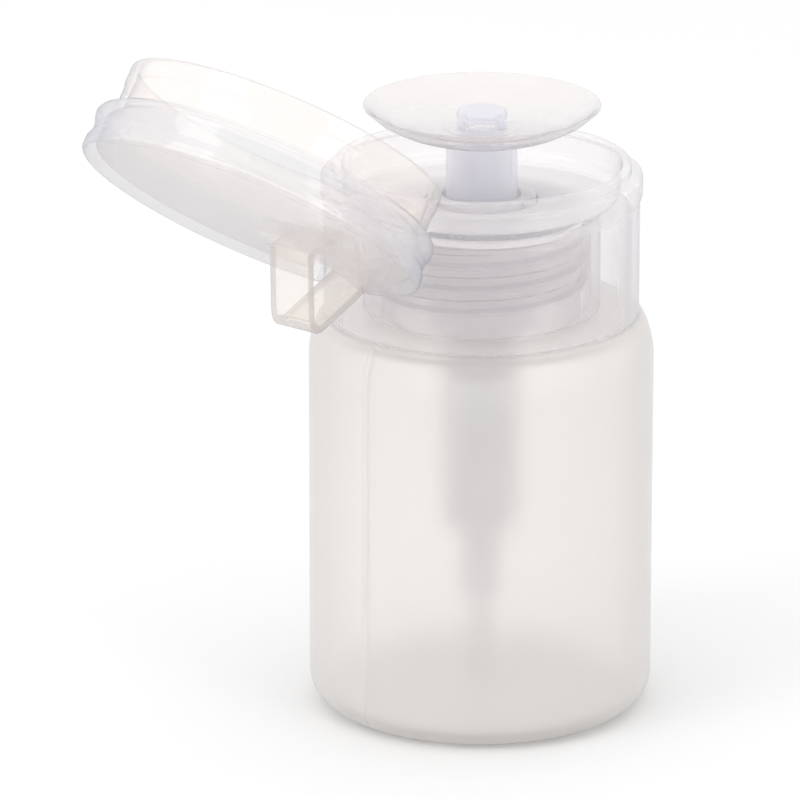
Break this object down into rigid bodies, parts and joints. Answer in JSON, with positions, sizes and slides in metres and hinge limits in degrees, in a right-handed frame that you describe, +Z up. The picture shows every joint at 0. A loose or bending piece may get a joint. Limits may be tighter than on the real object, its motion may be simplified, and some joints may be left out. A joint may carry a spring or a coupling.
{
  "type": "push-down liquid dispenser bottle",
  "caption": "Small frosted cylinder bottle with a screw collar, a press-down dish pump with a slotted nozzle, and a strap-hinged flip lid standing open.",
  "frame": {"origin": "centre of the bottle's flat base, on the bottle's axis", "axes": "+Z up the bottle's axis, +Y towards the lid's hinge at the back, -Y the front, +X along the hinge line"},
  "size_m": [0.0446, 0.084, 0.0958],
  "materials": {
    "bottle": "frosted translucent polypropylene, satin",
    "collar": "clear natural polypropylene, glossy",
    "dip_tube": "clear thin tube",
    "dish": "clear polypropylene, polished",
    "hinge_film_left": "thin clear polypropylene web",
    "hinge_film_right": "thin clear polypropylene web",
    "inlet_ball": "stainless ball",
    "inlet_cage": "natural plastic",
    "lid": "clear natural polypropylene, glossy",
    "neck_gasket": "white foamed liner",
    "nozzle_cap": "clear polypropylene, polished",
    "outlet_ball": "stainless ball",
    "piston_rod": "natural plastic tube",
    "piston_seal": "soft grey sealing plastic",
    "pump_guide": "natural plastic",
    "pump_housing": "natural plastic, satin",
    "return_spring": "stainless spring wire",
    "rod_seal": "soft grey sealing plastic",
    "strap_lower": "clear natural polypropylene, glossy",
    "strap_upper": "clear natural polypropylene, glossy"
  },
  "bodies": {
    "bottle": {"bottle": "bottle"},
    "pump_core": {"pump_housing": "pump_housing", "pump_guide": "pump_guide", "neck_gasket": "neck_gasket", "rod_seal": "rod_seal", "inlet_cage": "inlet_cage", "dip_tube": "dip_tube", "return_spring": "return_spring"},
    "actuator": {"dish": "dish", "nozzle_cap": "nozzle_cap", "piston_rod": "piston_rod", "piston_seal": "piston_seal"},
    "inlet_ball": {"inlet_ball": "inlet_ball"},
    "outlet_ball": {"outlet_ball": "outlet_ball"},
    "collar": {"collar": "collar", "hinge_film_left": "hinge_film_left", "hinge_film_right": "hinge_film_right"},
    "lid": {"lid": "lid"},
    "strap_lower": {"strap_lower": "strap_lower"},
    "strap_upper": {"strap_upper": "strap_upper"}
  },
  "joints": [
    {"name": "collar_lift", "type": "slide", "parent": "bottle", "child": "pump_core", "axis": [0, 0, 1], "range_m": [0, 0.0045]},
    {"name": "collar_unscrew", "type": "hinge", "parent": "pump_core", "child": "collar", "pos_m": [0, 0, 0.06], "axis": [0, 0, 1], "range_deg": [0, 540]},
    {"name": "pump_press", "type": "slide", "parent": "pump_core", "child": "actuator", "axis": [0, 0, -1], "range_m": [0, 0.006], "stiffness_N_per_m": 400, "springref_m": -0.005, "deforming": ["return_spring"]},
    {"name": "inlet_ball_lift", "type": "slide", "parent": "pump_core", "child": "inlet_ball", "axis": [0, 0, 1], "range_m": [0, 0.0008]},
    {"name": "outlet_ball_lift", "type": "slide", "parent": "actuator", "child": "outlet_ball", "axis": [0, 0, 1], "range_m": [0, 0.0008]},
    {"name": "lid_hinge", "type": "hinge", "parent": "collar", "child": "lid", "pos_m": [0, 0.0209, 0.0709], "axis": [1, 0, 0], "range_deg": [0, 143.4]},
    {"name": "strap_root", "type": "hinge", "parent": "collar", "child": "strap_lower", "pos_m": [0, 0.02095, 0.0639], "axis": [1, 0, 0], "range_deg": [0, 102.31]},
    {"name": "strap_knee", "type": "hinge", "parent": "strap_lower", "child": "strap_upper", "pos_m": [0, 0.0365, 0.05775], "axis": [1, 0, 0], "range_deg": [-24.88, 0]}
  ],
  "couplings": [
    {"joint": "collar_unscrew", "follows": "collar_lift", "rad_per_m": 2094.4},
    {"joint": "strap_root", "follows": "lid_hinge", "ratio": 0.71},
    {"joint": "strap_knee", "follows": "lid_hinge", "ratio": -0.17}
  ]
}
